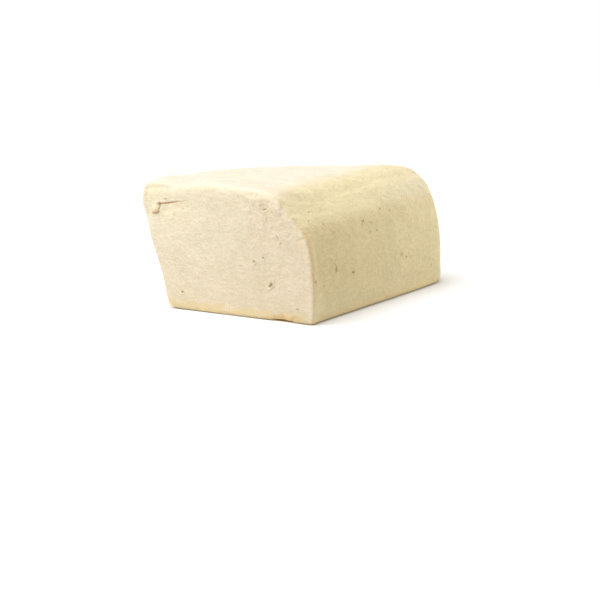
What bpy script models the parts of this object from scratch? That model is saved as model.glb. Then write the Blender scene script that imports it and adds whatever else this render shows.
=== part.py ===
"""A block of firm tofu, cut from a pressed slab.

The block lies on its flat base with its origin under its middle, on the surface that
carries it. -Y is the freshly cut face, +X is the side with the slab's old skin, which
rolls over into the top in a broad bevel, +Y runs along the block and +Z is up.
"""

import math

import bmesh
import bpy

MM = 0.001
NAME = "tofu_block"

# The box that the block is shaped from
BASE_WIDTH = 81.0 * MM
LENGTH = 135.0 * MM
HEIGHT = 59.7 * MM

# The left side stands out past the base as it rises
OVERHANG = 13.0 * MM
OVERHANG_START = 4.0 * MM
OVERHANG_END = 52.0 * MM

# The right side leans in as it rises, and swells a little in the middle
RIGHT_LEAN_FRONT = 5.5 * MM
RIGHT_LEAN_BACK = 7.5 * MM
RIGHT_LEAN_START_FRONT = 10.0 * MM
RIGHT_LEAN_START_BACK = 22.0 * MM
RIGHT_SWELL = 0.8 * MM

# The bevel along the top right: a flat cut at the front that turns into a round roll
# between two shares of the length
BEVEL_WIDTH_FRONT = 16.0 * MM
BEVEL_WIDTH_BACK = 12.0 * MM
BEVEL_HEIGHT_FRONT = 15.0 * MM
BEVEL_HEIGHT_BACK = 15.5 * MM
BEVEL_POWER_FRONT = 1.06
BEVEL_POWER_BACK = 1.4
BEVEL_TURN = (0.15, 0.9)

# The top left edge: crisp at the cut face, and broad where it meets the back
LEFT_WIDTH_FRONT = 3.5 * MM
LEFT_WIDTH_BACK = 21.5 * MM
LEFT_HEIGHT_FRONT = 3.5 * MM
LEFT_HEIGHT_BACK = 17.0 * MM
LEFT_TURN = (0.3, 0.95)

# A softened edge's power is 1 for a flat bevel and 2 for an arc
ROUND_POWER = 2.0

# How far the roundings of the back reach along the block
BACK_REACH_LEFT = 22.5 * MM
BACK_REACH_RIGHT = 14.0 * MM

# Small softened edges
BASE_LEFT_EDGE = 5.0 * MM
BASE_RIGHT_EDGE_BACK = 1.5 * MM
BASE_RIGHT_EDGE_START = 0.6
BASE_BACK_EDGE = 4.0 * MM
TOP_FRONT_EDGE = 3.0 * MM

# The back is not square to the length, and the top falls away from its highest line,
# which lies between two shares of the width, and towards the back on the left
BACK_SKEW = 8.5 * MM
CROWN = (0.4, 0.45)
CROWN_DROP_LEFT = 0.5 * MM
CROWN_DROP_RIGHT = 2.5 * MM
BACK_DROP_LEFT = 5.5 * MM
BACK_DROP_START = 0.3
BACK_DROP_FULL_WIDTH = 0.2

# Loop cuts as shares of the width, the length and the height
WIDTH_CUTS = (0.018, 0.07, 0.19, 0.33, 0.47, 0.61, 0.73, 0.81, 0.89, 0.95, 0.985)
LENGTH_CUTS = (0.012, 0.05, 0.15, 0.27, 0.39, 0.51, 0.63, 0.74, 0.83, 0.9, 0.95, 0.985)
HEIGHT_CUTS = (0.02, 0.08, 0.2, 0.34, 0.48, 0.6, 0.71, 0.81, 0.9, 0.97)
SUBDIVISION_LEVELS = 1

TOFU_COLOUR = (0.84, 0.73, 0.50, 1.0)
TOFU_ROUGHNESS = 0.62


def ease(start, end, value):
    """A smooth rise from 0 at start to 1 at end, flat outside them."""
    share = min(max((value - start) / (end - start), 0.0), 1.0)
    return share * share * (3.0 - 2.0 * share)


def mix(first, second, share):
    return first + (second - first) * share


def soften(depths, power):
    """Moves a point of a square edge or corner onto a softened one.

    depths holds how far the point is into the corner along each axis, from 0 where the
    softening starts to 1 at the side itself.
    """
    inside = [max(depth, 0.0) for depth in depths]
    deepest = max(inside)
    if deepest <= 0.0:
        return depths
    scale = deepest / sum(depth**power for depth in inside) ** (1.0 / power)
    return [depth * scale if depth > 0.0 else depth for depth in depths]


def soften_edge(first, second, edge, size):
    """Rounds one edge, given by its two sides' places and the way each faces, -1 or 1."""
    (first_side, first_way), (second_side, second_way) = edge
    depths = (
        1.0 - (first_side - first) * first_way / size,
        1.0 - (second_side - second) * second_way / size,
    )
    depths = soften(depths, ROUND_POWER)
    return (
        first_side - (1.0 - depths[0]) * first_way * size,
        second_side - (1.0 - depths[1]) * second_way * size,
    )


def round_top_and_back(x, y, z):
    """The bevel, the top left edge, the back's edges and its two upright corners."""
    across = ease(0.0, BASE_WIDTH, x)
    right_turn = ease(*BEVEL_TURN, y / LENGTH)
    left_turn = ease(*LEFT_TURN, y / LENGTH)
    left_width = mix(LEFT_WIDTH_FRONT, LEFT_WIDTH_BACK, left_turn)
    right_width = mix(BEVEL_WIDTH_FRONT, BEVEL_WIDTH_BACK, right_turn)
    left_height = mix(LEFT_HEIGHT_FRONT, LEFT_HEIGHT_BACK, left_turn)
    right_height = mix(BEVEL_HEIGHT_FRONT, BEVEL_HEIGHT_BACK, right_turn)
    reach = mix(BACK_REACH_LEFT, BACK_REACH_RIGHT, across)
    height = mix(left_height, right_height, across)
    power = mix(ROUND_POWER, mix(BEVEL_POWER_FRONT, BEVEL_POWER_BACK, right_turn), across)
    on_right = x > BASE_WIDTH / 2
    width = right_width if on_right else left_width
    to_side = BASE_WIDTH - x if on_right else x
    depths = (1.0 - to_side / width, 1.0 - (LENGTH - y) / reach, 1.0 - (HEIGHT - z) / height)
    depths = soften(depths, power)
    to_side = (1.0 - depths[0]) * width
    x = BASE_WIDTH - to_side if on_right else to_side
    return x, LENGTH - (1.0 - depths[1]) * reach, HEIGHT - (1.0 - depths[2]) * height


def round_small_edges(x, y, z):
    """The top edge of the cut face, and the edges of the base. The cut ones stay sharp."""
    y, z = soften_edge(y, z, ((0.0, -1), (HEIGHT, 1)), TOP_FRONT_EDGE)
    x, z = soften_edge(x, z, ((0.0, -1), (0.0, -1)), BASE_LEFT_EDGE)
    y, z = soften_edge(y, z, ((LENGTH, 1), (0.0, -1)), BASE_BACK_EDGE)
    base_right = BASE_RIGHT_EDGE_BACK * ease(BASE_RIGHT_EDGE_START, 1.0, y / LENGTH)
    if base_right > 0.0:
        x, z = soften_edge(x, z, ((BASE_WIDTH, 1), (0.0, -1)), base_right)
    return x, y, z


def lean_sides(x, z, along):
    """How far the sides move out at this height, blended across the width."""
    across = x / BASE_WIDTH
    left = -OVERHANG * ease(OVERHANG_START, OVERHANG_END, z)
    lean_start = mix(RIGHT_LEAN_START_FRONT, RIGHT_LEAN_START_BACK, along)
    lean = -mix(RIGHT_LEAN_FRONT, RIGHT_LEAN_BACK, along) * ease(lean_start, HEIGHT, z)
    swell = RIGHT_SWELL * math.sin(math.pi * along) * math.sin(math.pi * z / HEIGHT)
    return mix(left, lean + swell, across)


def top_drop(x, y):
    """How far the top lies below its highest line, which is left of the middle."""
    across = x / BASE_WIDTH
    along = y / LENGTH
    left = CROWN_DROP_LEFT * (1.0 - ease(0.0, CROWN[0], across))
    right = CROWN_DROP_RIGHT * ease(CROWN[1], 1.0, across)
    back = BACK_DROP_LEFT * ease(BACK_DROP_START, 1.0, along)
    back *= 1.0 - ease(BACK_DROP_FULL_WIDTH, 1.0, across)
    return left + right + back


def shaped(share_x, share_y, share_z):
    """The place on the block of a point of the unit cube."""
    x = share_x * BASE_WIDTH
    y = share_y * LENGTH
    z = share_z * HEIGHT
    x, y, z = round_top_and_back(x, y, z)
    x, y, z = round_small_edges(x, y, z)
    drop = top_drop(x, y) * z / HEIGHT
    y -= BACK_SKEW * (1.0 - x / BASE_WIDTH) * y / LENGTH
    x += lean_sides(x, z, y / LENGTH)
    return x, y, z - drop


def make_cage():
    """A cube with loop cuts, each of its vertices moved to its place on the block."""
    cage = bmesh.new()
    bmesh.ops.create_cube(cage, size=1.0)
    bmesh.ops.translate(cage, verts=cage.verts, vec=(0.5, 0.5, 0.5))
    for axis, cuts in enumerate((WIDTH_CUTS, LENGTH_CUTS, HEIGHT_CUTS)):
        for share in cuts:
            place = [0.0, 0.0, 0.0]
            direction = [0.0, 0.0, 0.0]
            place[axis] = share
            direction[axis] = 1.0
            everything = cage.verts[:] + cage.edges[:] + cage.faces[:]
            bmesh.ops.bisect_plane(cage, geom=everything, plane_co=place, plane_no=direction)
    for vertex in cage.verts:
        vertex.co = shaped(*vertex.co)
    return cage


def make_material():
    material = bpy.data.materials.new("tofu")
    material.use_nodes = True
    shader = material.node_tree.nodes["Principled BSDF"]
    shader.inputs["Base Color"].default_value = TOFU_COLOUR
    shader.inputs["Roughness"].default_value = TOFU_ROUGHNESS
    shader.inputs["Metallic"].default_value = 0.0
    return material


def centre_on_base(block):
    """Moves the mesh so that the finished block's box stands centred on the origin."""
    bpy.context.view_layer.update()
    finished = block.evaluated_get(bpy.context.evaluated_depsgraph_get())
    corners = [finished.bound_box[index] for index in range(8)]
    low, high = ([pick(corner[axis] for corner in corners) for axis in range(3)] for pick in (min, max))
    for vertex in block.data.vertices:
        vertex.co.x -= (low[0] + high[0]) / 2
        vertex.co.y -= (low[1] + high[1]) / 2
        vertex.co.z -= low[2]


def make_block():
    cage = make_cage()
    mesh = bpy.data.meshes.new(NAME)
    cage.to_mesh(mesh)
    cage.free()
    mesh.shade_smooth()
    mesh.materials.append(make_material())
    block = bpy.data.objects.new(NAME, mesh)
    subdivision = block.modifiers.new("soft form", "SUBSURF")
    subdivision.levels = SUBDIVISION_LEVELS
    subdivision.render_levels = SUBDIVISION_LEVELS
    return block


def main():
    for old in list(bpy.data.objects):
        bpy.data.objects.remove(old)
    collection = bpy.data.collections.new("tofu block")
    bpy.context.scene.collection.children.link(collection)
    block = make_block()
    collection.objects.link(block)
    centre_on_base(block)


main()
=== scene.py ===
"""The looks of a block of firm tofu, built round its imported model.

The block is one piece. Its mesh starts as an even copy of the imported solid. Its edges are
then worn, drawn out or rolled under, its faces get the slow swell and the lumps of pressed
curd, and pores, a torn crack and a chipped base edge are pressed into it. Its material has
a pale cut face and a yellower pressed skin.

X runs across the block, Y along it from the cut face at the front to the back, and Z up.
The block's lengths are written in millimetres, and MM turns them into Blender's metres.
Those of the camera, the floor and the lights are in metres.
"""

import math
import random

import bmesh
import bpy
import numpy as np
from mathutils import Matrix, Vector, bvhtree, kdtree, noise


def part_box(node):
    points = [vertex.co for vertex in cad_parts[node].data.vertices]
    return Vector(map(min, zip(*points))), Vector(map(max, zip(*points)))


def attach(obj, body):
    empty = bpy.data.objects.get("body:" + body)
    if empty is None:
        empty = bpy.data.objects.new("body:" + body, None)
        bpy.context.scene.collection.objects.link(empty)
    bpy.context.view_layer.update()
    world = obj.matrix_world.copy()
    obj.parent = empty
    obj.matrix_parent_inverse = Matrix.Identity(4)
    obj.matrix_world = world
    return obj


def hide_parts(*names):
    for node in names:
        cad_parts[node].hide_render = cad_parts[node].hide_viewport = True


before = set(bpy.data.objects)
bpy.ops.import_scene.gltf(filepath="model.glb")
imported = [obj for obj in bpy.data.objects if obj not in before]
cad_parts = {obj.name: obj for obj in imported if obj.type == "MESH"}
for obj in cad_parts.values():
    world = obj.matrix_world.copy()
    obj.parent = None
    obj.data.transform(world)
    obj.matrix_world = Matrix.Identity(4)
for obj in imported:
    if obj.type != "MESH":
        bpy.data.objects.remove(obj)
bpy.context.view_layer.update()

MM = 0.001
NODE = "tofu_block"

LOW, HIGH = (np.array(corner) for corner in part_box(NODE))

# The camera looks at a point just under the middle of the base
CAMERA_AIM = Vector((0.0, -1.3, -3.8)) * MM
CAMERA_DISTANCE = 1.556
CAMERA_AZIMUTH = math.radians(31.5)
CAMERA_ELEVATION = math.radians(11.3)
CAMERA_LENS = 192.0

# The mesh: the size of its even quads, and the most triangles it may end with
VOXEL = 0.9 * MM
MOST_TRIANGLES = 190_000

# A distance well outside the block, in metres
WELL_OUTSIDE = 1.0

# How often all the edges are smoothed, and how often the cut face's torn upper edge. The
# torn edge is smoothed by a share in its middle, and by more at its right and left ends
SMOOTHED_EVERYWHERE = 3
SMOOTHED_WHERE_TORN = 90
TORN_MIDDLE = 0.45
TORN_RIGHT_MORE = 0.55
TORN_LEFT_MORE = 0.3

# How far round a pore and round the crack the mesh is made finer, and finer again
PORE_MARGIN = 0.8
CRACK_MARGIN = 3.2
CRACK_FINEST = 2.2

# How much wider than listed the pores that can be told apart are, to allow for their rims
PORE_WIDER = 1.15
# The shares of a pore's depth that its hole sinks by and that its lip is raised by
HOLE_SINK = 0.75
LIP_RISE = 0.3
# How far from a pore's middle its lip ends, as a share of its width or length
LIP_END = 1.1
# How bent and how ragged a pore's outline is, and the size of the ragged lumps
PORE_BEND = 0.25
PORE_RAGGED = 0.45
RAGGED_SIZE = 0.9 * MM
# How brown the deepest pores are, and from what depth on; the brown is partly their own colour,
# partly painted shade in the hole
PORE_BROWN = 0.5
BROWN_DEPTH = 1.4 * MM

# Pores that can be told apart, one by one. Each is a face, its place along the face and
# up it, its width and length across the opening, how far it is turned, and its depth.
# Places and sizes are in millimetres, turns in degrees.
PORES = [
    ("front", 24.1, 17.0, 1.5, 3.2, 60, 1.7),
    ("front", 7.8, 24.3, 0.9, 2.2, 25, 0.6),
    ("front", 14.9, 27.0, 1.3, 1.8, 80, 0.9),
    ("front", 19.9, 29.3, 1.1, 1.3, 0, 1.0),
    ("front", 28.1, 39.5, 1.3, 1.9, -50, 0.7),
    ("front", 29.6, 36.8, 0.7, 1.8, 70, 0.5),
    ("front", -25.1, 8.6, 1.1, 1.6, 40, 1.1),
    ("front", -29.7, 45.3, 1.0, 2.2, 65, 0.55),
    ("front", -24.4, 47.8, 1.0, 1.5, 0, 0.45),
    ("front", 20.9, 50.1, 1.0, 2.6, 15, 0.65),
    ("front", 38.6, 6.8, 1.0, 1.6, 30, 0.9),
    ("front", 19.3, 14.0, 0.7, 1.6, 45, 0.4),
    ("front", 17.1, 20.0, 0.7, 1.4, 120, 0.4),
    ("right", -44.3, 23.1, 1.2, 2.4, 75, 1.2),
    ("right", -29.7, 19.3, 1.2, 1.9, 40, 1.0),
    ("right", -64.0, 20.3, 1.1, 1.6, 20, 0.8),
    ("right", -56.0, 17.0, 1.1, 1.5, 60, 0.55),
    ("right", -47.6, 27.8, 1.0, 1.8, 10, 0.65),
    ("right", -13.3, 40.8, 1.1, 1.7, 45, 0.7),
    ("right", -15.5, 39.6, 0.8, 1.4, 20, 0.5),
    ("right", -3.8, 35.2, 1.0, 1.4, 30, 0.4),
    ("right", -9.6, 35.1, 1.0, 1.5, 100, 0.45),
    ("right", -46.1, 43.7, 1.2, 2.1, 35, 0.55),
    ("right", -55.7, 46.3, 1.0, 2.0, 20, 0.8),
    ("right", 5.3, 43.8, 1.0, 1.6, 60, 0.7),
    ("right", 12.7, 42.3, 1.0, 1.4, 10, 0.45),
    ("right", 16.0, 20.7, 1.0, 1.6, 10, 0.8),
    ("right", 20.5, 18.6, 1.0, 1.3, 30, 0.8),
    ("right", 46.0, 10.6, 1.0, 1.5, 70, 0.55),
    ("right", -20.5, 7.5, 0.8, 1.4, 80, 0.6),
]

# The torn crack in the front face, from the gap under its crumb to its faint right end:
# along, up, half width and depth at each bend, in millimetres
CRACK = [
    (-42.8, 44.9, 0.3, 0.3),
    (-41.4, 44.8, 0.8, 1.5),
    (-39.4, 45.2, 1.0, 2.4),
    (-38.3, 46.4, 0.6, 1.0),
    (-37.9, 48.2, 0.5, 0.8),
    (-38.1, 49.6, 0.95, 2.8),
    (-36.2, 50.0, 0.45, 1.1),
    (-34.4, 50.2, 0.65, 1.9),
    (-29.6, 51.1, 0.6, 1.7),
    (-26.9, 51.5, 0.35, 0.7),
    (-22.4, 51.7, 0.25, 0.3),
]
CRACK_DEPTH_SCALE = 0.42

# Soft patches of the cut face, each with its middle and spread across and up: the lumpy
# one round the crack, and the paler ones below and above it
LUMPY_PATCH = ((-33.0, 9.0), (46.5, 4.5))
PALE_BELOW = ((-31.0, 12.0), (46.5, 7.5))
PALE_ABOVE = ((-41.0, 11.0), (55.0, 6.0))
LUMP_HEIGHT = 0.22

# The crumb that the crack runs round
CRUMB = (-40.3, 47.7)
CRUMB_RADIUS = 2.5
CRUMB_HEIGHT = 0.6

# The small pores: the seed of their places, how many there are, the chance that one on the
# cut face or the left side is left out, the width of the smallest, how much wider the
# widest is, and the least and most length and depth for a pore 1 wide
SEED = 418
SMALL_PORES = 480
LEFT_OUT = 0.55
SMALL_PORE_SIZE = 0.65
SMALL_PORE_MORE = 0.8
SMALL_PORE_LENGTHS = (1.0, 1.8)
SMALL_PORE_DEPTHS = (0.2, 0.42)

# The layers of the curd's relief: the size of its lumps, which noise they take, how high
# they are everywhere, and how much higher on the skin and on the bevel
RELIEF = [
    (34.0, 3.1, 0.55, 0.0, 0.0),
    (7.0, 7.7, 0.16, 0.0, 0.0),
    (2.2, 11.3, 0.1, 0.055, 0.08),
    (1.2, 13.9, 0.035, 0.055, 0.05),
]

# The soft crease along the bevel, and the hollow above it: where each lies across the
# block, at its places along it, and how high and deep they are
RIDGE = [(-30.0, 31.2), (-2.0, 32.9), (47.0, 35.1)]
HOLLOW = [(-62.0, 25.2), (-48.0, 28.4), (-34.0, 30.2), (25.0, 30.0), (55.0, 32.5)]
RIDGE_HEIGHT = 0.28
HOLLOW_DEPTH = 0.4
# The shallower streak beside the hollow, and its share of the hollow's depth
STREAK = 19.5
STREAK_SHARE = 0.45

# How much fuller the top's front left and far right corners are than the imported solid
FRONT_LEFT_FILL = 1.9
FAR_RIGHT_FILL = 0.9

# The height of the lumps along the torn edge
CRUMBLY_HEIGHT = 0.42

# The base's worn edges: how far they are tucked in, and how unevenly
BASE_TUCK = 0.35
BASE_UNEVEN = 0.35
# The chipped stretch of the front base edge, between two places across the block, with
# how deep and how high it is, and the deeper gap in it with its middle, width and depth
CHIP = (24.0, 40.0)
CHIP_DEPTH = 0.9
CHIP_TOP = 3.0
GAP = (29.0, 3.4)
GAP_DEPTH = 1.8

# How far the cut face's right upright edge stands out, at its heights, how far the left
# one stands out, and how far the middle of the top edge is raised
FLARE = [(0.0, 0.6), (10.0, 0.7), (17.0, 0.85), (24.0, 1.1), (31.0, 1.6), (38.0, 0.8), (45.0, 0.0)]
LEFT_FLARE = 0.6
TOP_EDGE_RISE = 2.1
# The heights over which the upright edges end and the bevel begins
EDGE_END = (38.0, 46.0)
# The radius of the roll under the base's far right corner
CORNER_RADIUS = 3.0


# ---------------------------------------------------------------- small helpers


def ease(start, end, value):
    """A smooth rise from 0 at start to 1 at end, flat outside them; value may be an array."""
    share = np.clip((value - start) / (end - start), 0.0, 1.0)
    return share * share * (3.0 - 2.0 * share)


def window(rise, fall, value):
    """A smooth rise between the first two places, and a smooth fall between the others."""
    return ease(*rise, value) * (1.0 - ease(*fall, value))


def hump(middle, spread, value):
    """1 at the middle, falling away smoothly on both sides."""
    return np.exp(-(((value - middle) / spread) ** 2))


def bake_modifiers(obj):
    """Gives the object the mesh that its modifiers make, and removes them."""
    bpy.context.view_layer.update()
    graph = bpy.context.evaluated_depsgraph_get()
    baked = bpy.data.meshes.new_from_object(obj.evaluated_get(graph))
    obj.modifiers.clear()
    old = obj.data
    obj.data = baked
    bpy.data.meshes.remove(old)


def read_points(mesh):
    """The mesh's points as rows of three numbers, in metres."""
    points = np.empty(len(mesh.vertices) * 3, np.float32)
    mesh.vertices.foreach_get("co", points)
    return points.reshape(-1, 3).astype(float)


def read_normals(mesh):
    """The mesh's point normals as rows of three numbers."""
    normals = np.empty(len(mesh.vertices) * 3, np.float32)
    mesh.vertex_normals.foreach_get("vector", normals)
    return normals.reshape(-1, 3).astype(float)


def write_points(mesh, points):
    mesh.vertices.foreach_set("co", points.astype(np.float32).ravel())
    mesh.update()


def tree_of(points):
    """A tree that finds the points near a place."""
    tree = kdtree.KDTree(len(points))
    for index, point in enumerate(points):
        tree.insert(point, index)
    tree.balance()
    return tree


def write_attribute(mesh, name, values):
    layer = mesh.attributes.new(name, "FLOAT", "POINT")
    layer.data.foreach_set("value", values.astype(np.float32))


def noise_at(points, size, offset):
    """Smooth noise between about -1 and 1, with lumps of the given size."""
    scaled = points / size + offset
    return np.array([noise.noise(Vector(point)) for point in scaled])


# ---------------------------------------------------------------- the block's mesh


def even_copy():
    """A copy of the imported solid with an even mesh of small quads."""
    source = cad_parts[NODE]
    block = bpy.data.objects.new("tofu_body", source.data.copy())
    bpy.context.scene.collection.objects.link(block)
    weld = block.modifiers.new("weld", "WELD")
    weld.merge_threshold = 0.001 * MM
    remesh = block.modifiers.new("even", "REMESH")
    remesh.mode = "VOXEL"
    remesh.voxel_size = VOXEL
    bake_modifiers(block)
    return block


def soften_edges(block):
    """Rounds the top and bevel edges of the cut face more than its sharp upright edge."""
    points = read_points(block.data)
    front = 1.0 - ease(LOW[1] + 6 * MM, LOW[1] + 14 * MM, points[:, 1])
    upper = ease(34 * MM, 46 * MM, points[:, 2])
    right = ease(2 * MM, 16 * MM, points[:, 0])
    left = 1.0 - ease(-38 * MM, -22 * MM, points[:, 0])
    weights = front * upper * (TORN_MIDDLE + TORN_RIGHT_MORE * right + TORN_LEFT_MORE * left)
    group = block.vertex_groups.new(name="worn")
    for index, weight in enumerate(weights):
        if weight > 0.01:
            group.add([index], float(weight), "REPLACE")
    everywhere = block.modifiers.new("all edges", "SMOOTH")
    everywhere.factor = 0.5
    everywhere.iterations = SMOOTHED_EVERYWHERE
    worn = block.modifiers.new("worn edges", "SMOOTH")
    worn.factor = 0.5
    worn.iterations = SMOOTHED_WHERE_TORN
    worn.vertex_group = group.name
    finer = block.modifiers.new("finer", "SUBSURF")
    finer.levels = 1
    finer.render_levels = 1
    bake_modifiers(block)


def refine(block, spots):
    """Splits the faces near some places, where a crack or a pore needs more points."""
    tree = tree_of(read_points(block.data))
    close = {found[1] for spot, reach in spots for found in tree.find_range(spot, reach)}
    work = bmesh.new()
    work.from_mesh(block.data)
    work.verts.ensure_lookup_table()
    edges = {edge for index in close for edge in work.verts[index].link_edges}
    bmesh.ops.subdivide_edges(work, edges=list(edges), cuts=1, use_grid_fill=True)
    work.to_mesh(block.data)
    work.free()


def on_face(shape, face, along, up):
    """The place on the front or the right face, and the face's normal there."""
    if face == "front":
        outside = Vector((along * MM, LOW[1] - WELL_OUTSIDE, up * MM))
        inward = Vector((0.0, 1.0, 0.0))
    else:
        outside = Vector((HIGH[0] + WELL_OUTSIDE, along * MM, up * MM))
        inward = Vector((-1.0, 0.0, 0.0))
    return shape.ray_cast(outside, inward)[:2]


class Surface:
    """The block's surface before anything is pressed into it.

    Points are in metres, and x, y, z and the distance behind the cut face in millimetres.
    How far each point's normal faces right, back and up is between -1 and 1.
    """

    def __init__(self, mesh):
        self.points = read_points(mesh)
        self.normals = read_normals(mesh)
        self.tree = tree_of(self.points)
        self.x, self.y, self.z = self.points.T / MM
        self.behind = self.y - LOW[1] / MM
        self.right, self.back, self.up = self.normals.T


def across_and_up(normal):
    """Two directions along a face: a level one, and one at right angles to it."""
    level = Vector((0.0, 0.0, 1.0)).cross(normal)
    if level.length < 0.1:
        level = Vector((1.0, 0.0, 0.0))
    level.normalize()
    return level, normal.cross(level)


def press_pore(surface, sink, stain, hit, normal, width, length, turn, depth, seed):
    """Adds one pore to how far each point sinks, and how brown it is, the brown being partly
    painted shade in the hole.

    The pore is a ragged hole, bent like a comma, with a raised lip on its inner side.
    """
    level, steep = across_and_up(normal)
    turned = math.radians(turn)
    long_way = level * math.cos(turned) + steep * math.sin(turned)
    short_way = normal.cross(long_way)
    brown = PORE_BROWN * min(1.0, depth / BROWN_DEPTH)
    for point, index, _ in surface.tree.find_range(hit, max(width, length) * LIP_END):
        offset = point - hit
        along = offset.dot(long_way) / (length / 2)
        bend = PORE_BEND * along * along
        across = offset.dot(short_way) / (width / 2) - bend
        lumps = noise.noise(point / RAGGED_SIZE + Vector((seed, 0.0, 0.0)))
        away = math.hypot(along, across) * (1.0 + PORE_RAGGED * lumps)
        inside = 1.0 - ease(0.15, 1.0, away)
        lip = hump(1.35, 0.4, away) * (0.6 - 0.4 * math.tanh(2.0 * across))
        sink[index] += HOLE_SINK * depth * inside - LIP_RISE * depth * lip
        # The pore's brown, partly its own and partly painted shade in the hole
        stain[index] = max(stain[index], brown * inside)


def press_pores(surface, shape, sink, stain):
    """The pores that can be told apart."""
    wider = PORE_WIDER * MM
    for number, (face, along, up, width, length, turn, depth) in enumerate(PORES):
        hit, normal = on_face(shape, face, along, up)
        press_pore(
            surface, sink, stain, hit, normal,
            wider * width, wider * length, turn, depth * MM, number,
        )


def scatter_pores(surface, sink, stain):
    """Small pores all over but the base, fewer of them on the cut face and the left side."""
    chance = random.Random(SEED)
    made = 0
    while made < SMALL_PORES:
        index = chance.randrange(len(surface.points))
        right, back, up = surface.normals[index]
        if surface.z[index] < 2.0 or up < -0.8:
            continue
        on_cut = back < -0.7 or right < -0.7
        if on_cut and chance.random() < LEFT_OUT:
            continue
        size = SMALL_PORE_SIZE + SMALL_PORE_MORE * chance.random() ** 3
        press_pore(
            surface, sink, stain, Vector(surface.points[index]), Vector((right, back, up)),
            size * MM, size * chance.uniform(*SMALL_PORE_LENGTHS) * MM, chance.uniform(0, 180),
            size * chance.uniform(*SMALL_PORE_DEPTHS) * MM, made * 1.7,
        )
        made += 1


def crack_depth(spot, wobble):
    """How deep the crack is at each spot of the cut face, and how far inside it is."""
    depth_here = np.zeros(len(spot))
    inside_here = np.zeros(len(spot))
    for first, second in zip(CRACK, CRACK[1:]):
        start = np.array(first[:2])
        step = np.array(second[:2]) - start
        share = np.clip(((spot - start) @ step) / (step @ step), 0.0, 1.0)
        away = np.hypot(*(spot - start - share[:, None] * step).T)
        half = first[2] + (second[2] - first[2]) * share
        depth = first[3] + (second[3] - first[3]) * share
        inside = 1.0 - ease(0.0, 1.3, away / (half * (1 + 0.4 * wobble)))
        depth_here = np.maximum(depth_here, depth * inside)
        inside_here = np.maximum(inside_here, inside * np.minimum(1.0, depth / 1.2))
    return depth_here, inside_here


def patch(place, x, z):
    """1 in the middle of a soft patch of the cut face, falling away all round it."""
    across, up = place
    return hump(*across, x) * hump(*up, z)


def press_crack(surface, sink):
    """Adds the torn crack, the crumb beside it and the lumps round it to how far points sink.

    Returns three shares of each point: inside the crack, whose brown tint is partly painted
    shade, on the crumb, and in the paler curd below and above the crack.
    """
    near = np.flatnonzero(
        (surface.behind < 3.0) & (surface.x < -5.0) & (surface.z > 30.0) & (surface.z < 60.0)
    )
    x, z = surface.x[near], surface.z[near]
    wobble = noise_at(surface.points[near], 0.9 * MM, 5.0)
    lumpy = noise_at(surface.points[near], 2.0 * MM, 9.0)
    depth, inside = crack_depth(np.column_stack((x, z)), wobble)
    from_crumb = np.hypot(x - CRUMB[0], (z - CRUMB[1]) * 1.15) * (1 + 0.3 * wobble + 0.3 * lumpy)
    crumb = 1.0 - ease(0.3 * CRUMB_RADIUS, CRUMB_RADIUS, from_crumb)
    lumps = patch(LUMPY_PATCH, x, z) * (lumpy + 0.5 * wobble)
    raised = (CRUMB_HEIGHT * crumb + LUMP_HEIGHT * lumps) * (1 - inside)
    sink[near] += (CRACK_DEPTH_SCALE * depth - raised) * MM
    below = patch(PALE_BELOW, x, z) * (0.85 + 0.4 * lumpy)
    above = patch(PALE_ABOVE, x, z) * 0.9
    shares = np.zeros((3, len(surface.points)))
    # The crack's share, tinted brown partly as painted shade in the crack
    shares[0, near] = inside * (1 - 0.5 * ease(-30.0, -22.0, x))
    shares[1, near] = crumb * ease(-44.0, -41.0, x)
    shares[2, near] = np.clip(np.maximum(below, above), 0.0, 1.0)
    return shares


def relief(surface):
    """The slow swell of the faces and the lumps of the curd, as a rise of each point."""
    on_skin = ease(0.15, 0.5, surface.right)
    on_bevel = on_skin * ease(0.2, 0.6, surface.up)
    rise = full_corners(surface) + crumbly_edge(surface)
    for size, offset, height, skin_more, bevel_more in RELIEF:
        lumps = noise_at(surface.points, size * MM, offset)
        rise += lumps * (height + skin_more * on_skin + bevel_more * on_bevel)
    ridge, hollow = creases(surface)
    rise += RIDGE_HEIGHT * ridge - HOLLOW_DEPTH * hollow
    off_the_base = ease(0.3, 5.0, surface.z)
    return rise * off_the_base * MM


def creases(surface):
    """How far each point is on the ridge along the bevel, and in the hollows above it."""
    x, y = surface.x, surface.y
    upper = ease(44.0, 48.0, surface.z)
    ridge = hump(np.interp(y, *zip(*RIDGE)), 2.0, x) * window((-34.0, -6.0), (56.0, 66.0), y)
    hollow = hump(np.interp(y, *zip(*HOLLOW)), 2.2, x) * window((-66.0, -56.0), (50.0, 64.0), y)
    streak = hump(STREAK, 2.0, x) * window((-20.0, 10.0), (40.0, 60.0), y)
    return ridge * upper, (hollow + STREAK_SHARE * streak) * upper


def full_corners(surface):
    """Fills out the top's front left and far right corners."""
    x, y, z = surface.x, surface.y, surface.z
    left = (1.0 - ease(-42.0, -24.0, x)) * (1.0 - ease(-56.0, -30.0, y)) * ease(38.0, 50.0, z)
    left *= 1.0 - ease(0.4, 0.9, -surface.back)
    right = window((0.0, 22.0), (36.0, 44.0), x) * ease(25.0, 60.0, y)
    right *= ease(0.3, 0.9, surface.up)
    return FRONT_LEFT_FILL * left + FAR_RIGHT_FILL * right


def torn_edge(surface):
    """1 along the cut face's bevelled edge, where the knife left the curd torn."""
    near = 1.0 - ease(3.0, 10.0, surface.behind)
    upper = ease(32.0, 44.0, surface.z)
    return near * upper * (0.25 + 0.75 * ease(0.0, 16.0, surface.x))


def crumbly_edge(surface):
    """Lumps along that edge."""
    where = torn_edge(surface)
    rise = np.zeros(len(where))
    busy = where > 0.01
    spots = surface.points[busy]
    lumps = noise_at(spots, 3.6 * MM, 21.0) + 0.6 * noise_at(spots, 1.5 * MM, 23.0)
    rise[busy] = CRUMBLY_HEIGHT * lumps * where[busy]
    return rise


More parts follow.
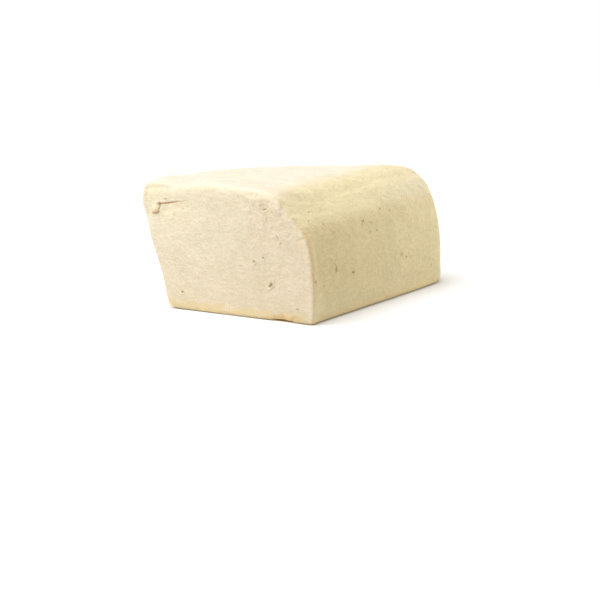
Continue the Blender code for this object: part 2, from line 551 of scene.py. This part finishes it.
def wear_base_edge(surface):
    """Moves the base's edges in a little, unevenly, and takes a chip out of the front one.

    Returns the shift of each point, and how far it is in the chip.
    """
    low = np.flatnonzero(surface.z < 4.0)
    height, across = surface.z[low], surface.x[low]
    uneven = noise_at(surface.points[low] * np.array([1.0, 1.0, 0.4]), 3.0 * MM, 31.0)
    tuck = (BASE_TUCK + BASE_UNEVEN * uneven) * (1.0 - ease(0.3, 2.2, height))
    front = 1.0 - ease(1.0, 3.0, surface.behind[low])
    stretch = front * window((CHIP[0] - 2, CHIP[0] + 2), (CHIP[1] - 6, CHIP[1] + 1), across)
    chip_top = CHIP_TOP + 1.2 * uneven
    chip = stretch * (1.0 - ease(chip_top - 0.9, chip_top + 0.3, height))
    gap = front * hump(*GAP, across) * (1.0 - ease(0.5, 1.3, height))
    inward = tuck + chip * (CHIP_DEPTH + 0.4 * uneven) + GAP_DEPTH * gap
    outward = surface.normals[low].copy()
    outward[:, 2] = 0.0
    sideways = np.linalg.norm(outward, axis=1)
    outward /= np.maximum(sideways, 0.3)[:, None]
    shift = np.zeros_like(surface.points)
    shift[low] = -outward * (inward * np.maximum(sideways, stretch))[:, None] * MM
    share = np.zeros(len(surface.points))
    share[low] = chip
    return shift, share


def upright_edge(surface, pick):
    """Where one of the cut face's upright edges is across the block, at each point's height."""
    at_front = surface.behind < 1.5
    x, z = surface.x[at_front], surface.z[at_front]
    levels = np.arange(0.5, 44.0)
    edge = [pick(x[np.abs(z - level) < 1.0]) for level in levels]
    return np.interp(surface.z, levels, edge)


def draw_out_edges(surface):
    """Moves the cut face's upright edges outward and its top edge upward."""
    close = 1.0 - ease(1.0, 8.0, surface.behind)
    from_right = upright_edge(surface, np.max) - surface.x
    from_left = surface.x - upright_edge(surface, np.min)
    right = np.interp(surface.z, *zip(*FLARE)) * (1.0 - ease(0.0, 5.0, from_right)) * close
    left = LEFT_FLARE * (1.0 - ease(0.0, 5.0, from_left)) * close
    left *= window((2.0, 10.0), EDGE_END, surface.z)
    rise = TOP_EDGE_RISE * window((-32.0, -9.0), (23.0, 33.0), surface.x)
    rise *= (1.0 - ease(4.0, 38.0, surface.behind)) * ease(38.0, 52.0, surface.z)
    shift = np.zeros_like(surface.points)
    shift[:, 0] = (right - left) * MM
    shift[:, 2] = rise * MM
    return shift


def base_outline(surface):
    """A tree of the right and far sides' points just above the base, seen from above."""
    level = np.abs(surface.z - 5.0) < 0.5
    upright = np.abs(surface.up) < 0.5
    side = np.flatnonzero(level & upright & (surface.x > 0) & (surface.y > 0))
    outline = kdtree.KDTree(len(side))
    for index in side:
        outline.insert((*surface.points[index, :2], 0.0), index)
    outline.balance()
    return outline


def round_far_corner(surface):
    """Rolls the base's far right corner under, as a shift of each point.

    A point that is past the roll is drawn onto it, towards the middle of its circle.
    """
    outline = base_outline(surface)
    share = ease(5.0, 35.0, surface.x) * ease(15.0, 50.0, surface.y)
    shift = np.zeros_like(surface.points)
    for index in np.flatnonzero((surface.z < CORNER_RADIUS) & (share > 0.02)):
        x, y, height = surface.points[index]
        place, edge = outline.find((x, y, 0.0))[:2]
        outward = surface.normals[edge][:2]
        outward = outward / np.linalg.norm(outward)
        inside = (place.x - x) * outward[0] + (place.y - y) * outward[1]
        radius = CORNER_RADIUS * MM * share[index]
        across = radius - inside
        down = radius - height
        reach = math.hypot(across, down)
        if across > 0 and down > 0 and reach > radius:
            drawn = 1.0 - radius / reach
            shift[index, :2] = -outward * across * drawn
            shift[index, 2] = down * drawn
    return shift


def painted_highlight_rim(surface):
    """1 on a narrow strip of the cut face beside its right-hand upright edge, where a highlight is
    painted.
    """
    away = upright_edge(surface, np.max) - surface.x
    strip = (1.0 - ease(1.8, 3.4, away)) * (1.0 - ease(*EDGE_END, surface.z))
    return strip * ease(0.1, 0.5, -surface.back)


def painted_shade_corner(surface):
    """1 on the skin just behind that edge, in its upper part, where shade is painted."""
    behind = 1.0 - ease(1.5, 6.0, surface.behind)
    return behind * window((8.0, 24.0), (40.0, 47.0), surface.z) * (surface.x > 0)


def colour_shares(surface, light):
    """How much of each colour of the faces and their edges a point has, painted highlights and
    shade among them.

    light is how far each point is in the paler curd beside the crack.
    """
    x, y, z = surface.x, surface.y, surface.z
    torn = torn_edge(surface)
    ragged = 0.3 * torn * noise_at(surface.points, 3.0 * MM, 41.0)
    cut = ease(0.35, 0.85, ragged - surface.back)
    roll_start = 8.0 + 9.0 * (1.0 - ease(-66.0, -35.0, y))
    roll = ease(0.0, 19.0, x - roll_start)
    hollow = creases(surface)[1]
    skin = np.maximum(ease(0.2, 0.75, surface.right), ease(0.2, 0.75, surface.back))
    skin = np.maximum(skin, 0.7 * roll) * (1.0 - cut)
    # In the hollow the top's paler colour gives way to the darker one beneath, as painted shade
    top = ease(0.62, 1.0, surface.up) * (1.0 - 0.8 * roll) * (1.0 - 0.4 * hollow)
    upright = (surface.right > 0.2) * window((14.0, 36.0), EDGE_END, z)
    knife_line = 4.0 * cut * (1.0 - cut) * upright
    # Painted highlight on the raised lumps along the torn edge
    lumps = 0.4 * torn * np.maximum(noise_at(surface.points, 2.4 * MM, 43.0), 0.0)
    # A painted highlight along the cut face's right upright edge
    highlight_rim = 0.3 * painted_highlight_rim(surface)
    # Painted shade on the skin behind the near edge, with the thin line where the cut face meets
    # the skin
    knife_line_and_painted_shading = np.maximum(painted_shade_corner(surface) * (1.0 - cut), knife_line)
    return {
        "skin": skin,
        "top": top,
        # Painted shade on the upper right of the cut face, along its torn edge
        "torn": torn * cut * ease(6.0, 22.0, x),
        "cut": cut,
        # Pale: the paler curd by the crack, plus painted highlight on the rim and on the torn
        # edge's lumps
        "pale": np.maximum(np.maximum(highlight_rim, light), lumps),
        "knife_line_and_painted_shading": np.maximum(knife_line_and_painted_shading, 0.75 * highlight_rim),
    }


def thin_out(block):
    """Brings the block under its number of triangles."""
    triangles = sum(len(face.vertices) - 2 for face in block.data.polygons)
    if triangles > MOST_TRIANGLES:
        thin = block.modifiers.new("thin out", "DECIMATE")
        thin.ratio = MOST_TRIANGLES / triangles
        bake_modifiers(block)


def make_finer(block, shape):
    """Gives the mesh more points where pores and the crack will be pressed in."""
    pores = [(on_face(shape, *pore[:3])[0], (0.6 * pore[4] + PORE_MARGIN) * MM) for pore in PORES]
    bends = [on_face(shape, "front", *bend[:2])[0] for bend in CRACK]
    refine(block, pores + [(bend, CRACK_MARGIN * MM) for bend in bends])
    refine(block, [(bend, CRACK_FINEST * MM) for bend in bends])


def build_block():
    block = even_copy()
    soften_edges(block)
    shape = bvhtree.BVHTree.FromObject(block, bpy.context.evaluated_depsgraph_get())
    make_finer(block, shape)
    surface = Surface(block.data)
    sink = np.zeros(len(surface.points))
    stain = np.zeros(len(surface.points))
    press_pores(surface, shape, sink, stain)
    scatter_pores(surface, sink, stain)
    crack, crumb, light = press_crack(surface, sink)
    worn, chip = wear_base_edge(surface)
    points = surface.points + surface.normals * (relief(surface) - sink)[:, None] + worn
    points += draw_out_edges(surface) + round_far_corner(surface)
    points[:, 2] = np.maximum(points[:, 2], 0.0)
    write_points(block.data, points)
    shares = colour_shares(surface, light)
    shares.update(chip=chip, stain=stain, crack=crack, crumb=crumb)
    for name, values in shares.items():
        write_attribute(block.data, name, values)
    thin_out(block)
    block.data.shade_smooth()
    return block


# ---------------------------------------------------------------- material


CUT_COLOUR = (0.912, 0.81, 0.623, 1.0)
# The painted shade along the torn edge
TORN_EDGE_SHADE_COLOUR = (0.86, 0.735, 0.545, 1.0)
# The paler curd, and the painted highlights
PALE_CURD_AND_HIGHLIGHT_COLOUR = (0.97, 0.885, 0.66, 1.0)
# Tint of the edge line and of the painted shade behind the near edge
EDGE_LINE_AND_SHADE_COLOUR = (0.80, 0.58, 0.29, 1.0)
SKIN_COLOUR = (0.76, 0.62, 0.345, 1.0)
# The skin's painted light towards the back and the base
PAINTED_LIGHT_SKIN_COLOUR = (0.845, 0.71, 0.415, 1.0)
BEVEL_COLOUR = (0.875, 0.76, 0.48, 1.0)
BEVEL_FAR_COLOUR = (0.862, 0.756, 0.54, 1.0)
TOP_COLOUR = (0.885, 0.797, 0.662, 1.0)
ROSY_COLOUR = (0.90, 0.765, 0.60, 1.0)
# The band above the base: its skin, with painted warm bounce light and shade
BASE_SKIN_AND_BOUNCE_COLOUR = (0.82, 0.65, 0.33, 1.0)
# The pores' brown, partly painted shade in their holes
PORE_STAIN_AND_SHADE_COLOUR = (0.48, 0.38, 0.21, 1.0)
# The crack's brown, partly painted shade
CRACK_STAIN_AND_SHADE_COLOUR = (0.60, 0.41, 0.225, 1.0)
# The chip's own darker tone, with painted warm bounce light
CHIP_AND_BOUNCE_COLOUR = (0.88, 0.65, 0.32, 1.0)
CRUMB_COLOUR = (0.94, 0.80, 0.54, 1.0)

# Tints that are mixed in where an attribute says so, one after another: the attribute, the
# most of the tint there, and the tint
EDGE_TINTS = [
    # Painted shade along the torn edge on the right
    ("torn", 0.75, TORN_EDGE_SHADE_COLOUR),
    # Paler curd, and painted highlight on the rim and on the lumps
    ("pale", 1.0, PALE_CURD_AND_HIGHLIGHT_COLOUR),
    # The line between cut face and skin, painted shade behind the near edge, and a tint over the
    # painted highlight
    ("knife_line_and_painted_shading", 0.5, EDGE_LINE_AND_SHADE_COLOUR),
]
MARK_TINTS = [
    ("crumb", 0.7, CRUMB_COLOUR),
    # The chip's darker tone, partly painted warm bounce light
    ("chip", 0.85, CHIP_AND_BOUNCE_COLOUR),
    # Partly the crack's own brown, partly painted shade in it
    ("crack", 0.9, CRACK_STAIN_AND_SHADE_COLOUR),
    # Partly the pores' own brown, partly painted shade in them
    ("stain", 1.0, PORE_STAIN_AND_SHADE_COLOUR),
]

# What the colour is multiplied by: as painted shade low and on the right of the cut face, and in
# soft clouds, in streaky blotches, and in the speckle of the curd
PAINTED_SHADE_TINT = (0.92, 0.90, 0.872, 1.0)
CLOUD = (0.90, 0.90, 0.86, 1.0)
BLOTCH = (0.91, 0.90, 0.86, 1.0)
SPECKLE = (0.88, 0.86, 0.80, 1.0)

ROUGHNESS = 0.62
SPECULAR = 0.3
SUBSURFACE = 0.25
SUBSURFACE_RADIUS = (1.0, 0.7, 0.4)
SUBSURFACE_SCALE = 1.2 * MM


class Nodes:
    """A short way to write a material's nodes."""

    def __init__(self, material):
        material.use_nodes = True
        self.tree = material.node_tree
        self.shader = self.tree.nodes["Principled BSDF"]
        self.position = self.new("ShaderNodeTexCoord").outputs["Object"]
        split = self.new("ShaderNodeSeparateXYZ")
        self.give(split.inputs[0], self.position)
        self.x, self.y, self.z = split.outputs

    def new(self, kind, **settings):
        node = self.tree.nodes.new(kind)
        for name, value in settings.items():
            setattr(node, name, value)
        return node

    def give(self, socket, value):
        """Sets a socket to a number or a colour, or links another socket to it."""
        if isinstance(value, bpy.types.NodeSocket):
            self.tree.links.new(value, socket)
        else:
            socket.default_value = value

    def attribute(self, name):
        return self.new("ShaderNodeAttribute", attribute_name=name).outputs["Fac"]

    def noise(self, position, size, detail=2.0, roughness=0.5):
        node = self.new("ShaderNodeTexNoise")
        self.give(node.inputs["Vector"], position)
        self.give(node.inputs["Scale"], 1.0 / size)
        self.give(node.inputs["Detail"], detail)
        self.give(node.inputs["Roughness"], roughness)
        return node.outputs["Fac"]

    def range(self, value, from_low, from_high, to_low=0.0, to_high=1.0):
        node = self.new("ShaderNodeMapRange", interpolation_type="SMOOTHSTEP")
        self.give(node.inputs["Value"], value)
        self.give(node.inputs["From Min"], from_low)
        self.give(node.inputs["From Max"], from_high)
        self.give(node.inputs["To Min"], to_low)
        self.give(node.inputs["To Max"], to_high)
        return node.outputs["Result"]

    def math(self, operation, first, second):
        node = self.new("ShaderNodeMath", operation=operation)
        self.give(node.inputs[0], first)
        self.give(node.inputs[1], second)
        return node.outputs[0]

    def times(self, first, second):
        return self.math("MULTIPLY", first, second)

    def mix(self, share, first, second, blend="MIX"):
        node = self.new("ShaderNodeMix", data_type="RGBA", blend_type=blend)
        self.give(node.inputs["Factor"], share)
        self.give(node.inputs["A"], first)
        self.give(node.inputs["B"], second)
        return node.outputs["Result"]

    def bump(self, height, distance, strength):
        node = self.new("ShaderNodeBump")
        self.give(node.inputs["Height"], height)
        self.give(node.inputs["Distance"], distance)
        self.give(node.inputs["Strength"], strength)
        return node.outputs["Normal"]


def tinted(nodes, colour, tints):
    """Mixes in each of some tints, as far as its attribute says."""
    for name, most, tint in tints:
        colour = nodes.mix(nodes.times(nodes.attribute(name), most), colour, tint)
    return colour


def cut_and_top_colour(nodes):
    """The skin's colour where there is skin, and the cut face's and the top's elsewhere. The cut
    face is darkened low down and towards its right as painted shade.
    """
    colour = nodes.mix(nodes.attribute("skin"), CUT_COLOUR, SKIN_COLOUR)
    colour = nodes.mix(nodes.attribute("top"), colour, TOP_COLOUR)
    # Painted shade: the cut face grows darker towards its right and low down
    aside = nodes.range(nodes.x, -20 * MM, 45 * MM, 0.0, 0.95)
    low = nodes.range(nodes.z, 45 * MM, 10 * MM, 0.0, 0.5)
    painted_shade = nodes.times(nodes.math("ADD", aside, low), nodes.attribute("cut"))
    return nodes.mix(painted_shade, colour, PAINTED_SHADE_TINT, "MULTIPLY")


def skin_colour(nodes, colour):
    """The skin is painted paler towards the back and the base, as painted light, and grows paler
    up on the bevel.
    """
    skin = nodes.attribute("skin")
    # Painted light: the skin brighter towards the back and towards the base
    far = nodes.range(nodes.y, -62 * MM, 66 * MM, 0.0, 0.9)
    low = nodes.range(nodes.z, 24 * MM, 4 * MM, 0.0, 0.9)
    painted_light_far_or_low = nodes.times(nodes.math("MAXIMUM", far, low), skin)
    colour = nodes.mix(painted_light_far_or_low, colour, PAINTED_LIGHT_SKIN_COLOUR)
    bevel = nodes.times(nodes.range(nodes.z, 41 * MM, 49 * MM), skin)
    colour = nodes.mix(bevel, colour, BEVEL_COLOUR)
    bevel_far = nodes.times(nodes.range(nodes.y, -5 * MM, 55 * MM, 0.0, 0.7), bevel)
    return nodes.mix(bevel_far, colour, BEVEL_FAR_COLOUR)


def mottled_colour(nodes, colour):
    """Rosy patches on the cut face, then clouds, streaky blotches and speckle everywhere."""
    rosy = nodes.range(nodes.noise(nodes.position, 4.5 * MM), 0.4, 0.7, 0.0, 0.5)
    colour = nodes.mix(nodes.times(rosy, nodes.attribute("cut")), colour, ROSY_COLOUR)
    cloudy = nodes.range(nodes.noise(nodes.position, 11 * MM), 0.3, 0.7, 0.0, 0.5)
    colour = nodes.mix(cloudy, colour, CLOUD, "MULTIPLY")
    streaky = nodes.new("ShaderNodeMapping")
    nodes.give(streaky.inputs["Scale"], (0.5, 0.5, 1.5))
    nodes.give(streaky.inputs["Vector"], nodes.position)
    blotch = nodes.range(nodes.noise(streaky.outputs[0], 2.6 * MM, 3.0), 0.35, 0.65, 0.0, 0.6)
    colour = nodes.mix(blotch, colour, BLOTCH, "MULTIPLY")
    speckle = nodes.range(nodes.noise(nodes.position, 0.8 * MM, 1.0), 0.35, 0.65, 0.0, 0.6)
    return nodes.mix(speckle, colour, SPECKLE, "MULTIPLY")


def banded_colour(nodes, colour):
    """The darker, uneven band just above the base: partly the base's skin wrapping round, partly
    painted warm bounce light and shade.
    """
    lumps = nodes.noise(nodes.position, 6 * MM, 3.0)
    uneven = nodes.range(lumps, 0.3, 0.7, -1.6 * MM, 1.6 * MM)
    height = nodes.math("ADD", nodes.z, uneven)
    # Partly skin, partly painted bounce light and shade along the base
    skin_and_bounce_band = nodes.range(height, 1.5 * MM, 5.5 * MM, 0.7, 0.0)
    return nodes.mix(skin_and_bounce_band, colour, BASE_SKIN_AND_BOUNCE_COLOUR)


def fine_grain(nodes):
    """The finest grain of the curd, weaker on the top."""
    grain = nodes.noise(nodes.position, 1.1 * MM, 4.0, 0.7)
    strength = nodes.range(nodes.attribute("top"), 0.3, 0.9, 0.95, 0.65)
    return nodes.bump(grain, 0.7 * MM, strength)


def make_material():
    material = bpy.data.materials.new("tofu")
    nodes = Nodes(material)
    colour = cut_and_top_colour(nodes)
    colour = skin_colour(nodes, colour)
    colour = tinted(nodes, colour, EDGE_TINTS)
    colour = mottled_colour(nodes, colour)
    colour = banded_colour(nodes, colour)
    colour = tinted(nodes, colour, MARK_TINTS)
    shader = nodes.shader.inputs
    nodes.give(shader["Base Color"], colour)
    nodes.give(shader["Normal"], fine_grain(nodes))
    nodes.give(shader["Roughness"], ROUGHNESS)
    nodes.give(shader["Specular IOR Level"], SPECULAR)
    nodes.give(shader["Subsurface Weight"], SUBSURFACE)
    nodes.give(shader["Subsurface Radius"], SUBSURFACE_RADIUS)
    nodes.give(shader["Subsurface Scale"], SUBSURFACE_SCALE)
    return material


# ---------------------------------------------------------------- stage


FLOOR_HALF = 6.0
FLOOR_COLOUR = (0.865, 0.865, 0.865, 1.0)
FLOOR_ROUGHNESS = 0.9
WORLD_STRENGTH = 0.22

# The sun: the direction it shines from, its angle and its strength
SUN_FROM = (-0.16, -0.22, 1.0)
SUN_ANGLE = math.radians(60)
SUN_STRENGTH = 3.2

# The smaller soft boxes: name, place in metres, diameter and watts
SOFT_BOXES = [
    ("soft box on the left", (-0.30, -0.35, 0.38), 0.2, 0.9),
    ("soft box behind on the right", (0.3, 0.5, 0.12), 0.25, 1.3),
]


def make_camera():
    data = bpy.data.cameras.new("camera")
    data.lens = CAMERA_LENS
    data.clip_end = 100.0
    camera = bpy.data.objects.new("camera", data)
    back = Vector(
        (
            math.sin(CAMERA_AZIMUTH) * math.cos(CAMERA_ELEVATION),
            -math.cos(CAMERA_AZIMUTH) * math.cos(CAMERA_ELEVATION),
            math.sin(CAMERA_ELEVATION),
        )
    )
    camera.location = CAMERA_AIM + back * CAMERA_DISTANCE
    camera.rotation_euler = (-back).to_track_quat("-Z", "Y").to_euler()
    bpy.context.scene.collection.objects.link(camera)
    bpy.context.scene.camera = camera


def make_floor():
    mesh = bpy.data.meshes.new("floor")
    corners = [(-1, -1), (1, -1), (1, 1), (-1, 1)]
    mesh.from_pydata([(x * FLOOR_HALF, y * FLOOR_HALF, 0) for x, y in corners], [], [(0, 1, 2, 3)])
    floor = bpy.data.objects.new("floor", mesh)
    bpy.context.scene.collection.objects.link(floor)
    material = bpy.data.materials.new("floor")
    material.use_nodes = True
    shader = material.node_tree.nodes["Principled BSDF"]
    shader.inputs["Base Color"].default_value = FLOOR_COLOUR
    shader.inputs["Roughness"].default_value = FLOOR_ROUGHNESS
    mesh.materials.append(material)


def add_light(data, direction):
    """Puts a lamp in the scene that shines from a direction towards the middle of the base."""
    light = bpy.data.objects.new(data.name, data)
    light.rotation_euler = (-Vector(direction)).to_track_quat("-Z", "Y").to_euler()
    bpy.context.scene.collection.objects.link(light)
    return light


def make_world():
    world = bpy.data.worlds.new("world")
    world.use_nodes = True
    background = world.node_tree.nodes["Background"]
    background.inputs["Color"].default_value = (1.0, 1.0, 1.0, 1.0)
    background.inputs["Strength"].default_value = WORLD_STRENGTH
    bpy.context.scene.world = world


def make_light():
    make_world()
    sun = bpy.data.lights.new("soft box above", "SUN")
    sun.angle = SUN_ANGLE
    sun.energy = SUN_STRENGTH
    add_light(sun, SUN_FROM)
    for name, place, size, watts in SOFT_BOXES:
        box = bpy.data.lights.new(name, "AREA")
        box.shape = "DISK"
        box.size = size
        box.energy = watts
        add_light(box, place).location = place


def main():
    block = build_block()
    block.data.materials.clear()
    block.data.materials.append(make_material())
    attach(block, "root")
    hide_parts(NODE)
    make_camera()
    make_floor()
    make_light()
    bpy.context.scene.view_settings.view_transform = "Standard"


main()
